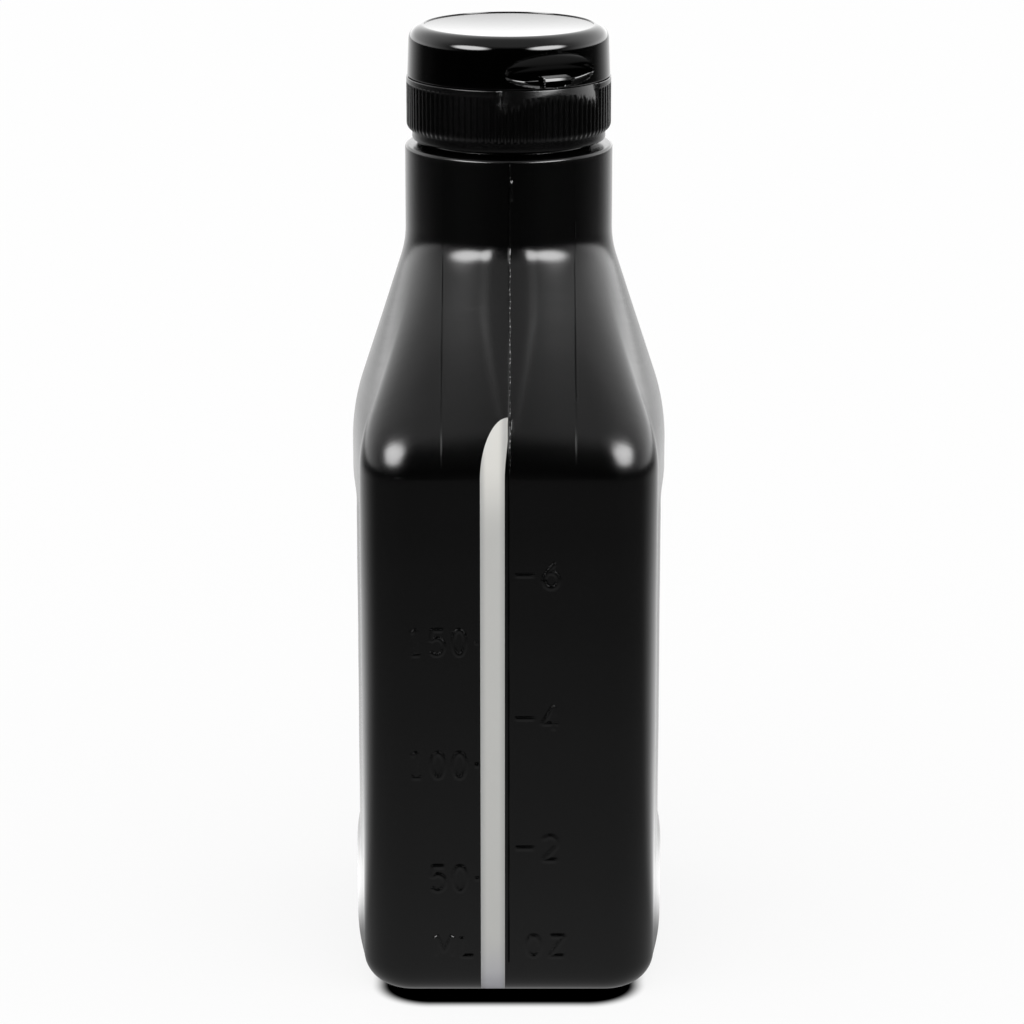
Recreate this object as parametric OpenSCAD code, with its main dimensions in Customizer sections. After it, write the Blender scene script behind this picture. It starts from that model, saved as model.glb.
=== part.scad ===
// Oblong blow-moulded sealant bottle with a see-through level stripe and a ribbed
// flip-top screw closure. Millimetres. The origin is the middle of the base, on the
// neck's axis. +Z points up through the neck, Y runs across the wide direction and
// X through the thickness. The level stripe is on the narrow side that faces -Y.

/* [Body] */
// Width from narrow side to narrow side, along Y
body_w = 64; // [58:1:74]
// Thickness from broad face to broad face at the bands, along X
body_d = 48.8; // [46:0.2:56]
// Height of the upright sides above the base
straight_h = 83; // [70:1:110]
// Rise of the shoulder from the upright sides to the collar
shoulder_rise = 30.3; // [26:0.1:38]
// Radius of the upright corners
corner_r = 8; // [6:0.5:11]
// Radius where the sides turn under to the base
heel_r = 5; // [3:0.5:5.5]
// Radius where the narrow sides turn in to the shoulder
side_turn_r = 11.5; // [8:0.5:14]
// Radius where the broad faces turn in to the shoulder
face_turn_r = 27; // [18:1:30]
// Thickness of the blown wall
wall_t = 1; // [0.8:0.1:1.3]
// Width of the flat ring that the bottle stands on
stand_w = 2.5; // [1.5:0.1:3.5]
// How far the middle of the base is pushed up
push_up = 2.5; // [1:0.1:3.5]
// Width of the slope around the pushed-up middle
push_run = 4; // [2:0.5:5]

/* [Label panel] */
// How far the broad faces swell past the corner posts at the bands
crown = 1.75; // [0.5:0.05:2.5]
// How far the sunk panel still stands past the corner posts
panel_rise = 0.6; // [0:0.05:1]
// Height of the panel's lower edge above the base
panel_z = 17; // [10:1:24]
// Distance of the panel's upper edge below the top of the upright sides
panel_drop = 4; // [2:0.5:16]
// Width of the flat part of the panel
panel_w = 40; // [30:1:42]
// Length over which a face blends into the panel
panel_blend = 4; // [2:0.5:6]

/* [Level stripe] */
// Width of the stripe
stripe_w = 3.7; // [2:0.1:6]
// Distance from the parting line to the stripe
stripe_offset = 0.6; // [0.3:0.1:2]
// Height above the upright sides at which the stripe runs out
stripe_run_out = 9.2; // [5:0.1:14]
// How far the stripe's bent top starts below its end
stripe_bend = 9; // [5:0.5:12]
// Distance that the stripe runs on under the base
stripe_under = 10; // [6:1:14]

/* [Collar and neck] */
// Height of the collar above the shoulder
collar_h = 15.3; // [10:0.1:22]
// How far the collar stands out past the closure's skirt
collar_step = 0.25; // [0:0.05:0.6]
// Rounding of the collar's top edge
collar_edge = 0.8; // [0.3:0.1:1.2]
// Width of the ledge where the shoulder meets the collar
collar_foot = 0.06; // [0.03:0.01:0.3]
// Outside diameter of the neck between the threads
neck_d = 25.2; // [23:0.1:27]
// Thickness of the neck's wall
neck_wall = 1.7; // [1.2:0.1:2.2]
// Height of the neck finish above the collar
neck_h = 8.7; // [7:0.1:11]
// Depth of the screw thread
thread_depth = 1.2; // [0.8:0.1:1.5]

/* [Closure] */
// Radial play between the thread's crest and the closure's inside
thread_play = 0.25; // [0.15:0.05:0.5]
// Thickness of the skirt, ribs included
skirt_wall = 1.7; // [1.4:0.05:2.4]
// Gap between the collar and the skirt
skirt_gap = 0.9; // [0.4:0.1:2]
// Number of grip ribs
rib_count = 96; // [48:2:120]
// Depth of the grip ribs
rib_depth = 0.35; // [0.2:0.05:0.6]
// How far the ribs' crests lie below the smooth band
rib_set_back = 0.05; // [0.02:0.01:0.15]
// Height of the smooth band above the ribs
top_band_h = 1.1; // [0.6:0.1:1.6]
// Height of the smooth band below the ribs
low_band_h = 1.3; // [0.6:0.1:2]
// How far the lower band stands back from the ribs
low_band_step = 0.85; // [0.6:0.05:1]
// Rounding where the ribs end above the lower band
rib_round = 1.2; // [0.6:0.1:2]
// Thickness of the skirt's top shelf, on which the lid sits
shelf_t = 1; // [0.7:0.1:1.5]
// Height of the deck above the shelf
deck_rise = 0.8; // [0.4:0.1:1.2]
// Outside diameter of the pouring spout
spout_d = 8.4; // [7:0.1:11]
// Height of the spout above the deck
spout_h = 2.6; // [1.8:0.1:3.2]
// Diameter of the pouring hole
orifice_d = 4.6; // [3:0.1:5.5]
// Thickness of the sealing liner
liner_t = 0.8; // [0.5:0.1:1.2]
// Play around the sealing liner
liner_play = 0.15; // [0.05:0.05:0.3]

/* [Lid] */
// Height of the lid above the closure's shelf
lid_h = 7.9; // [7:0.1:11]
// Thickness of the lid's side
lid_wall = 1.3; // [1:0.1:1.6]
// Thickness of the lid's top at its rim
lid_top_t = 1.5; // [1.1:0.1:2]
// How far the lid's side stands back from the skirt
lid_step = 0.15; // [0:0.05:0.4]
// Draft of the lid's side, bottom to top
lid_draft = 0.2; // [0:0.05:0.5]
// Rounding of the lid's top edge
lid_round = 2.3; // [1:0.1:3]
// How far the middle of the lid is dished
lid_dish = 0.35; // [0:0.05:0.6]
// Gap between the closed lid and the shelf
lid_gap = 0.1; // [0.05:0.05:0.3]
// Play between the deck and the inside of the lid
deck_play = 0.4; // [0.3:0.05:0.8]
// Play between the sealing pin and the pouring hole
pin_play = 0.2; // [0.15:0.05:0.4]
// Depth to which the closed lid's pin enters the pouring hole
pin_reach = 2.2; // [1:0.1:3]
// Taper of the pin, as the loss of radius at its tip
pin_taper = 0.5; // [0.4:0.1:0.8]

/* [Thumb scoop and hinge] */
// Direction of the thumb scoop, turned from -Y towards +X, in degrees
scoop_turn = 27; // [-60:1:60]
// Radius of the scoop across its hollow
scoop_r = 4; // [3:0.1:5]
// Depth of the scoop in the lid's side
scoop_depth = 2; // [1:0.1:2.2]
// Height of the scoop's middle above the shelf
scoop_lift = 2.9; // [2.6:0.1:3.4]
// Depth of the matching dish in the skirt
dish_depth = 0.9; // [0.4:0.1:1]
// Height of the matching dish in the skirt
dish_h = 2.8; // [2:0.1:4]
// Width of the hinge between lid and closure
hinge_w = 9; // [6:0.5:12]
// Radius of the hinge's bead
hinge_bead_r = 0.4; // [0.3:0.05:0.5]
// Distance of the hinge's axis outside the skirt
hinge_out = 0.35; // [0.2:0.05:0.5]
// Play around the hinge's bead
hinge_play = 0.2; // [0.15:0.05:0.3]
// Height of the hinge's ears
ear_h = 1.3; // [0.8:0.1:1.6]

/* [Hidden] */
$fn = 96;

bottle_colour = [0.06, 0.06, 0.065];
stripe_colour = [0.72, 0.72, 0.7];
closure_colour = [0.1, 0.1, 0.105];
lid_colour = [0.05, 0.05, 0.055];
liner_colour = [0.92, 0.92, 0.9];

// A small length by which cutting shapes pass the faces that they open
over = 1;

// Heights along the axis
panel_top = straight_h - panel_drop;
collar_z = straight_h + shoulder_rise;
collar_top = collar_z + collar_h;
rim_z = collar_top + neck_h;
deck_under = rim_z + liner_t;
joint_z = deck_under + shelf_t;
deck_top = joint_z + deck_rise;
spout_top = deck_top + spout_h;
skirt_z = collar_top + skirt_gap;
lid_z = joint_z + lid_gap;
lid_top = joint_z + lid_h;
lid_ceiling = lid_top - lid_dish - lid_top_t;

// Radii about the axis
neck_r = neck_d / 2;
bore_r = neck_r - neck_wall;
skirt_in_r = neck_r + thread_depth + thread_play;
closure_r = skirt_in_r + skirt_wall;
rib_root_r = closure_r - rib_depth;
low_band_r = closure_r - low_band_step;
collar_r = closure_r + collar_step;
collar_in_r = collar_r - 1.2 * wall_t;
shoulder_r = collar_r + collar_foot;
lid_r = closure_r - lid_step;
lid_in_r = lid_r - lid_wall;
deck_r = lid_in_r - deck_play;
hinge_r = closure_r + hinge_out;
pin_r = orifice_d / 2 - pin_play;

// Points along each part of the body's outline, and rings up each part of its height
corner_steps = 8;
face_steps = 12;
side_steps = 6;
heel_steps = 5;
blend_steps = 3;
shoulder_steps = 18;

function mix(a, b, t) = a + (b - a) * t;
function ease(t) = let (u = min(1, max(0, t))) u * u * (3 - 2 * u);

// Slope of a shoulder line from upright, for a side at distance h that turns in through
// radius r and then runs straight to the collar's foot
function slope(h, r) =
    let (a = shoulder_r - h + r)
    atan2(shoulder_rise, a) - acos(r / norm([a, shoulder_rise]));

// Distance of that side from the axis at height z
function half_at(h, r, z) =
    let (up = z - straight_h, phi = slope(h, r))
    up <= 0 ? h
    : up < r * sin(phi) ? h - r + sqrt(r * r - up * up)
    : h - r + r * cos(phi) - (up - r * sin(phi)) * tan(phi);

// How far the section at height z has turned from an oblong into a circle
function roundness(z) = ease((z - straight_h) / shoulder_rise);

// How far a broad face stands past the corner posts, at height z and distance y
function swell(z, y, y_post) =
    let (
        sunk = ease((z - panel_z) / panel_blend) * ease((panel_top - z) / panel_blend),
        bowed = crown * (1 - (y / y_post) ^ 2),
        flat = panel_rise * (1 - ease((abs(y) - panel_w / 2) / panel_blend))
    )
    mix(bowed, flat, sunk) * (1 - roundness(z));

// One ring of points around the body at height z, drawn in by inset
function ring(z, inset) =
    let (
        hx = half_at(body_d / 2, face_turn_r, z) - inset,
        hy = half_at(body_w / 2, side_turn_r, z) - inset,
        r = max(1, corner_r - inset),
        post = hx - crown * (1 - roundness(z)),
        cx = post - r,
        cy = hy - r,
        quarter = concat(
            [for (i = [0 : face_steps / 2]) let (y = cy * 2 * i / face_steps)
                [post + swell(z, y, cy), y]],
            [for (i = [1 : corner_steps]) let (a = 90 * i / corner_steps)
                [cx + r * cos(a), cy + r * sin(a)]],
            [for (i = [1 : side_steps / 2]) [cx * (1 - 2 * i / side_steps), hy]]
        ),
        last = len(quarter) - 1,
        loop = concat(
            quarter,
            [for (i = [last - 1 : -1 : 0]) [-quarter[i][0], quarter[i][1]]],
            [for (i = [1 : last]) [-quarter[i][0], -quarter[i][1]]],
            [for (i = [last - 1 : -1 : 1]) [quarter[i][0], -quarter[i][1]]]
        )
    )
    [for (p = loop)
        let (k = mix(1, 1 / norm([p[0] / hx, p[1] / hy]), roundness(z)))
        [p[0] * k, p[1] * k, z]];

// The rings of the body from the middle of the base to the foot of the collar. A thickness
// of 0 gives the outside, and the wall's thickness gives the inside.
function body_rings(t) =
    let (r = heel_r - t, foot = heel_r + stand_w)
    concat(
        [ring(push_up + t, foot + push_run), ring(t, foot)],
        [for (i = [0 : heel_steps]) let (a = 90 * i / heel_steps)
            ring(t + r * (1 - cos(a)), t + r * (1 - sin(a)))],
        [for (i = [0 : blend_steps]) ring(panel_z + panel_blend * i / blend_steps, t)],
        [for (i = [blend_steps : -1 : 0])
            ring(panel_top - panel_blend * i / blend_steps, t)],
        [for (i = [0 : shoulder_steps])
            ring(straight_h + shoulder_rise * i / shoulder_steps, t)]
    );

// A closed skin over a stack of rings, with a flat cap at each end
module skin(rings) {
    n = len(rings[0]);
    m = len(rings);
    low = [0, 0, rings[0][0][2]];
    high = [0, 0, rings[m - 1][0][2]];
    points = concat([low, high], [for (loop = rings) each loop]);
    sides = [for (k = [0 : m - 2], i = [0 : n - 1])
        let (
            a = 2 + k * n + i, b = 2 + k * n + (i + 1) % n,
            c = b + n, d = a + n
        )
        each [[a, d, c], [a, c, b]]];
    caps = [for (i = [0 : n - 1])
        let (j = (i + 1) % n, top = 2 + (m - 1) * n)
        each [[0, 2 + i, 2 + j], [1, top + j, top + i]]];
    polyhedron(points, concat(sides, caps));
}

// The collar and the neck as a solid turned shape
module neck_form() {
    rotate_extrude() polygon(concat(
        [[0, collar_z - over], [collar_r, collar_z - over]],
        arc([collar_r - collar_edge, collar_top - collar_edge], collar_edge, 0, 90),
        [[neck_r, collar_top], [neck_r, rim_z], [0, rim_z]]
    ));
}

// The hollow inside the collar and the neck
module neck_hollow() {
    ledge = collar_top - 1.2 * wall_t;
    rotate_extrude() polygon([
        [0, collar_z - over], [collar_in_r, collar_z - over],
        [collar_in_r, ledge - wall_t], [collar_in_r - wall_t, ledge], [bore_r, ledge],
        [bore_r, rim_z + over], [0, rim_z + over]
    ]);
}

// Points on an arc about a centre
function arc(centre, r, from, to) =
    [for (i = [0 : 6]) let (a = mix(from, to, i / 6)) centre + r * [cos(a), sin(a)]];

module shell() {
    difference() {
        union() {
            skin(body_rings(0));
            neck_form();
        }
        skin(body_rings(wall_t));
        neck_hollow();
    }
}

// The zone of the wall that the stripe takes, from its start under the base
module stripe_zone() {
    near = -stripe_offset;
    far = -stripe_offset - stripe_w;
    top = straight_h + stripe_run_out;
    bend = top - stripe_bend;
    start = body_w / 2 - stripe_under;
    steps = 8;
    translate([0, -start, 0]) rotate([90, 0, 0]) linear_extrude(stripe_under + over)
        polygon(concat(
            [[far, -over], [near, -over]],
            [for (i = [0 : steps]) let (u = i / steps)
                [near * (1 - ease(u)), mix(bend, top, u)]],
            [for (i = [steps - 1 : -1 : 0]) let (a = 90 * i / steps)
                [far * cos(a), bend + stripe_bend * sin(a)]]
        ));
}

module bottle() {
    color(bottle_colour) difference() {
        shell();
        stripe_zone();
    }
}

module level_stripe() {
    color(stripe_colour) intersection() {
        shell();
        stripe_zone();
    }
}

module sealing_liner() {
    color(liner_colour) translate([0, 0, rim_z]) difference() {
        cylinder(h = liner_t, r = skirt_in_r - liner_play);
        translate([0, 0, -over]) cylinder(h = liner_t + 2 * over, r = bore_r);
    }
}

// Turns a shape drawn facing -Y towards the thumb scoop
module at_scoop() {
    rotate([0, 0, scoop_turn]) children();
}

// A bar along the direction across the scoop
module cross_bar(r, length) {
    rotate([0, 90, 0]) cylinder(h = length, r = r, center = true);
}

// Grip ribs, as a prism with rounded lower ends
module ribs() {
    pitch = 360 / rib_count;
    rib_z = skirt_z + low_band_h;
    valley_r = rib_root_r - 0.5 * rib_depth;
    crest_r = closure_r - rib_set_back;
    shares = [[-0.42, valley_r], [-0.2, crest_r], [0.2, crest_r], [0.42, valley_r]];
    low = rib_z - low_band_h / 2;
    intersection() {
        translate([0, 0, low]) linear_extrude(joint_z - top_band_h / 2 - low)
            polygon([for (i = [0 : rib_count - 1], s = shares)
                let (a = (i + s[0]) * pitch) s[1] * [cos(a), sin(a)]]);
        rotate_extrude() polygon(concat(
            [[0, rib_z - low_band_h], [closure_r - rib_round, rib_z - low_band_h]],
            arc([closure_r - rib_round, rib_z + rib_round], rib_round, -90, 0),
            [[closure_r, joint_z], [0, joint_z]]
        ));
    }
}

module closure() {
    ear_y = skirt_in_r + thread_play;
    dish_r = (dish_depth ^ 2 + dish_h ^ 2) / (2 * dish_depth);
    color(closure_colour) difference() {
        union() {
            rotate_extrude() polygon([
                [0, skirt_z], [low_band_r, skirt_z], [low_band_r, skirt_z + low_band_h],
                [rib_root_r, skirt_z + low_band_h + rib_round / 2],
                [rib_root_r, joint_z - top_band_h], [closure_r, joint_z - top_band_h],
                [closure_r, joint_z], [deck_r, joint_z], [deck_r, deck_top],
                [spout_d / 2, deck_top], [spout_d / 2 - spout_h / 8, spout_top],
                [0, spout_top]
            ]);
            ribs();
            at_scoop() {
                translate([-hinge_w / 2, ear_y, joint_z - ear_h])
                    cube([hinge_w, hinge_r - ear_y, ear_h]);
                translate([0, hinge_r, joint_z]) cross_bar(hinge_bead_r, hinge_w);
            }
        }
        rotate_extrude() polygon([
            [0, skirt_z - over], [skirt_in_r, skirt_z - over], [skirt_in_r, deck_under],
            [orifice_d / 2, deck_under], [orifice_d / 2, spout_top + over],
            [0, spout_top + over]
        ]);
        at_scoop() translate([0, -closure_r - dish_r + dish_depth, joint_z])
            cross_bar(dish_r, 3 * closure_r);
    }
}

// The lid's outer form, filled
module lid_form() {
    top_r = lid_r - lid_draft;
    rim_r = top_r - lid_round;
    rotate_extrude() polygon(concat(
        [[0, lid_z], [lid_r, lid_z]],
        arc([rim_r, lid_top - lid_round], lid_round, 0, 90),
        [for (i = [5 : -1 : 0]) let (u = i / 6)
            [rim_r * u, lid_top - lid_dish * (1 - u ^ 2)]]
    ));
}

module lid_hollow() {
    corner = lid_round - lid_wall / 2;
    top_r = lid_in_r - lid_draft;
    rotate_extrude() polygon(concat(
        [[0, lid_z - over], [lid_in_r, lid_z - over], [lid_in_r, lid_z]],
        arc([top_r - corner, lid_ceiling - corner], corner, 0, 90),
        [[0, lid_ceiling]]
    ));
}

// The thumb scoop's hollow, and the backing that keeps the lid closed behind it
module scoop() {
    at_scoop() translate([0, -lid_r - scoop_r + scoop_depth, joint_z + scoop_lift])
        cross_bar(scoop_r, 3 * lid_r);
}

module scoop_backing() {
    deep = lid_r - scoop_depth - lid_wall;
    low = deck_top + deck_play;
    intersection() {
        lid_form();
        at_scoop() translate([-lid_r, -lid_r, low])
            cube([2 * lid_r, lid_r - deep, lid_ceiling - low + 0.5 * lid_top_t]);
    }
}

module lid() {
    ear_y = lid_in_r + hinge_play;
    color(lid_colour) difference() {
        union() {
            difference() {
                lid_form();
                lid_hollow();
            }
            scoop_backing();
            at_scoop() translate([-hinge_w / 2, ear_y, lid_z])
                cube([hinge_w, hinge_r - hinge_bead_r / 2 - ear_y, ear_h]);
            translate([0, 0, spout_top - pin_reach])
                cylinder(h = lid_ceiling + lid_top_t / 2 - spout_top + pin_reach,
                    r1 = pin_r - pin_taper, r2 = pin_r);
        }
        scoop();
        at_scoop() translate([0, hinge_r, joint_z])
            cross_bar(hinge_bead_r + hinge_play, hinge_w + 2 * over);
    }
}

bottle();
level_stripe();
sealing_liner();
closure();
lid();
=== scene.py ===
# Oblong black sealant bottle with a level stripe, raised volume marks and a ribbed flip-top closure.
import math
import bpy
import numpy as np
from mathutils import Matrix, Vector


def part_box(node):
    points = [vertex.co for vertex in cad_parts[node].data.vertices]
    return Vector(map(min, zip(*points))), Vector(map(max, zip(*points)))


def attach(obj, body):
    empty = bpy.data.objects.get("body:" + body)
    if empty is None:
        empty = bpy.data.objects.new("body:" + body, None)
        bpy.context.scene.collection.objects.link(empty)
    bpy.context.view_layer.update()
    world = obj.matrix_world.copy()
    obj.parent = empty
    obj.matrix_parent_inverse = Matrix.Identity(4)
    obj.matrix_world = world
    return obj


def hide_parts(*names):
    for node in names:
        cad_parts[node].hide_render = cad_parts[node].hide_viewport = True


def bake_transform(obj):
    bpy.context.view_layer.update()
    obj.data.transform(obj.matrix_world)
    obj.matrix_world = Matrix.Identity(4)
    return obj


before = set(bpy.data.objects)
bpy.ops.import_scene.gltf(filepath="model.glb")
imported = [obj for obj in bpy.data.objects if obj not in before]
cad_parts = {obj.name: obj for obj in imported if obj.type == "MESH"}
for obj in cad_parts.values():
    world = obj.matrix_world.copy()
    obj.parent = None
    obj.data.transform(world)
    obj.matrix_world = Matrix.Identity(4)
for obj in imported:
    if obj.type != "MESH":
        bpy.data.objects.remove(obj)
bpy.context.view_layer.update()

mm = 0.001  # lengths below are in millimetres until they go into a mesh


# The low and the high corner of a node's box, in millimetres
def boxOf(node):
    low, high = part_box(node)
    return np.array(low) / mm, np.array(high) / mm


bottleHigh = boxOf("bottle")[1]
closureLow, closureHigh = boxOf("closure")
lidLow, lidHigh = boxOf("lid")
linerLow, linerHigh = boxOf("sealing_liner")
print("frame loaded, the pack is", round(lidHigh[2], 2), "mm tall")

# Camera and its view

view = {"across": 0.5, "away": 600, "up": 234.5, "pitchDown": 15.38, "lens": 138.2}
cameraData = bpy.data.cameras.new("camera")
cameraData.lens = view["lens"]
cameraData.sensor_width = 36
cameraData.clip_start = 0.01
cameraData.clip_end = 100
camera = bpy.data.objects.new("camera", cameraData)
camera.location = (view["across"] * mm, -view["away"] * mm, view["up"] * mm)
camera.rotation_euler = (math.radians(90 - view["pitchDown"]), 0, 0)
bpy.context.scene.collection.objects.link(camera)
bpy.context.scene.camera = camera
bpy.context.scene.view_settings.view_transform = "Standard"

# Curves and blends that several shapes use


# Runs smoothly from 0 to 1 while t runs from 0 to 1, by 3t^2 - 2t^3
def ease(t):
    t = np.clip(t, 0, 1)
    return t * t * (3 - 2 * t)


# The value that lies the share t of the way from a to b
def mix(a, b, t):
    return a + (b - a) * t


# The larger of two lengths, with the corner where they cross rounded over the length k
def softMax(a, b, k):
    h = np.maximum(k - np.abs(a - b), 0) / k
    return np.maximum(a, b) + h * h * k / 4


# The smaller of two lengths, rounded in the same way
def softMin(a, b, k):
    return -softMax(-a, -b, k)


# Points on an arc: the centre plus r times the cosine and sine of an angle that runs evenly. For a
# part of an ellipse r is its two half axes.
def arc(centre, r, start, end, count):
    angle = np.radians(np.linspace(start, end, count))
    return np.asarray(centre) + np.asarray(r) * np.stack([np.cos(angle), np.sin(angle)], -1)


# Meshes


# Joins a grid of points (row, column, xyz) into quads. The columns close into a loop. The rows close
# too, or else each end row closes on its own middle point.
def skin(grid, rowsClosed=False):
    rows, cols = grid.shape[:2]
    index = np.arange(rows * cols).reshape(rows, cols)
    beside = np.roll(index, -1, axis=1)
    if rowsClosed:
        low, lowBeside = index, beside
        high, highBeside = np.roll(index, -1, axis=0), np.roll(beside, -1, axis=0)
    else:
        low, lowBeside, high, highBeside = index[:-1], beside[:-1], index[1:], beside[1:]
    quads = np.stack([low, lowBeside, highBeside, high], -1).reshape(-1, 4)
    points = grid.reshape(-1, 3)
    if rowsClosed:
        return points, quads, np.zeros((0, 3), int)
    first, last = np.full(cols, len(points)), np.full(cols, len(points) + 1)
    points = np.concatenate([points, [grid[0].mean(0), grid[-1].mean(0)]])
    fans = np.concatenate([
        np.stack([first, beside[0], index[0]], -1),
        np.stack([last, index[-1], beside[-1]], -1),
    ])
    return points, quads, fans


# Puts closed skins into one mesh object, in metres, smooth but for edges past the given angle
def build(name, skins, material, sharpAt=35):
    mesh = bpy.data.meshes.new(name)
    shifts = np.cumsum([0] + [len(part[0]) for part in skins])
    points = np.concatenate([part[0] for part in skins]) * mm
    quads = np.concatenate([part[1] + shift for part, shift in zip(skins, shifts)])
    fans = np.concatenate([part[2] + shift for part, shift in zip(skins, shifts)])
    corners = np.concatenate([quads.ravel(), fans.ravel()])
    starts = np.concatenate([
        np.arange(len(quads)) * 4, quads.size + np.arange(len(fans)) * 3,
    ])
    mesh.vertices.add(len(points))
    mesh.vertices.foreach_set("co", points.ravel())
    mesh.loops.add(len(corners))
    mesh.loops.foreach_set("vertex_index", corners.astype(np.int32))
    mesh.polygons.add(len(starts))
    mesh.polygons.foreach_set("loop_start", starts.astype(np.int32))
    mesh.update(calc_edges=True)
    mesh.validate()
    mesh.shade_smooth()
    mesh.set_sharp_from_angle(angle=math.radians(sharpAt))
    mesh.materials.append(material)
    made = bpy.data.objects.new(name, mesh)
    bpy.context.scene.collection.objects.link(made)
    print("built", name, len(quads) * 2 + len(fans), "triangles")
    return made


# A profile of (radius, height) turned about the axis, one row for each point of the profile.
# reshape takes the radii, heights and angles as arrays, and gives the radii that are wanted.
def turned(profile, columns, reshape=None):
    angle = np.linspace(0, 2 * math.pi, columns, endpoint=False)[None, :]
    radius = np.repeat(profile[:, :1], columns, axis=1)
    height = np.repeat(profile[:, 1:], columns, axis=1)
    if reshape is not None:
        radius = reshape(radius, height, angle)
    return np.stack([radius * np.cos(angle), radius * np.sin(angle), height], -1)


# A low ridge carried along a path on a surface. Across the path its height follows the square of a
# cosine over the given width, and its foot lies a little under the surface. The height is one value,
# or one for each point of the path.
def ridge(path, outward, width, height, closed=False):
    along = np.roll(path, -1, 0) - np.roll(path, 1, 0) if closed else np.gradient(path, axis=0)
    across = np.cross(along, outward)
    across /= np.linalg.norm(across, axis=1)[:, None]
    top = np.linspace(-1, 1, 9)
    rise = np.concatenate([1.08 * np.cos(top * math.pi / 2) ** 2 - 0.08, [-2, -2]])
    offset = np.concatenate([top, [1, -1]]) * width / 2
    lift = np.broadcast_to(height, len(path))[:, None] * rise[None, :]
    if not closed:
        run = np.minimum(np.arange(len(path)), np.arange(len(path))[::-1]) / 3
        lift = np.where(lift > 0, lift * ease(run + 0.15)[:, None], lift)
    grid = path[:, None] + across[:, None] * offset[None, :, None] + outward[:, None] * lift[..., None]
    return skin(grid, rowsClosed=closed)


# Shader graphs


# A socket that arithmetic works on: each operator adds the Math node that it stands for
class Sock:
    def __init__(self, graph, socket):
        self.graph, self.socket = graph, socket

    def math(self, operation, *others):
        values = dict(enumerate((self,) + others))
        return self.graph.node("ShaderNodeMath", {"operation": operation}, values)

    def __add__(self, other):
        return self.math("ADD", other)

    def __mul__(self, other):
        return self.math("MULTIPLY", other)

    def __sub__(self, other):
        return self.math("SUBTRACT", other)

    def __truediv__(self, other):
        return self.math("DIVIDE", other)

    def __rsub__(self, other):
        return self.graph.node("ShaderNodeMath", {"operation": "SUBTRACT"}, {0: other, 1: self})

    __radd__ = __add__
    __rmul__ = __mul__


# The nodes of one material or of the world
class Graph:
    def __init__(self, tree):
        self.tree = tree
        tree.nodes.clear()

    def node(self, kind, settings=None, inputs=None, output=0):
        made = self.tree.nodes.new(kind)
        for key, value in (settings or {}).items():
            if key == "stops":
                ramp = made.color_ramp
                ramp.elements[0].position, ramp.elements[0].color = value[0]
                ramp.elements[1].position, ramp.elements[1].color = value[-1]
                for place, colour in value[1:-1]:
                    ramp.elements.new(place).color = colour
            else:
                setattr(made, key, value)
        for key, value in (inputs or {}).items():
            if isinstance(value, Sock):
                self.tree.links.new(value.socket, made.inputs[key])
            else:
                made.inputs[key].default_value = value
        return Sock(self, made.outputs[output]) if len(made.outputs) else None

    # 0 up to the value low, 1 from the value high on, and smooth between them
    def step(self, value, low, high):
        return self.node("ShaderNodeMapRange", {"interpolation_type": "SMOOTHSTEP"},
                         {"Value": value, "From Min": low, "From Max": high})

    def blendColour(self, factor, a, b):
        return self.node("ShaderNodeMix", {"data_type": "RGBA"}, {0: factor, 6: a, 7: b}, 2)

    # Noise of a given size in metres, stretched along each axis
    def noise(self, place, size, stretch=(1, 1, 1), detail=2.0, rough=0.5):
        scaled = self.node("ShaderNodeMapping", None,
                           {"Vector": place, "Scale": [1 / (size * s) for s in stretch]})
        return self.node("ShaderNodeTexNoise", None,
                         {"Vector": scaled, "Scale": 1.0, "Detail": detail, "Roughness": rough})

    def bump(self, height, distance, strength=1.0, onto=None):
        inputs = {"Height": height, "Distance": distance, "Strength": strength}
        if onto is not None:
            inputs["Normal"] = onto
        return self.node("ShaderNodeBump", None, inputs)


# A new material and the graph that holds its nodes
def newMaterial(name):
    material = bpy.data.materials.new(name)
    material.use_nodes = True
    return material, Graph(material.node_tree)


# Ends a material's graph in a Principled shader with the given inputs
def finishMaterial(graph, inputs):
    shader = graph.node("ShaderNodeBsdfPrincipled", None, inputs)
    graph.node("ShaderNodeOutputMaterial", None, {"Surface": shader})


# A grey that leans to warm, or to cool where warm is below 0
def grey(value, warm=0.0):
    return (value * (1 + warm), value, value * (1 - warm), 1)


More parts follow.
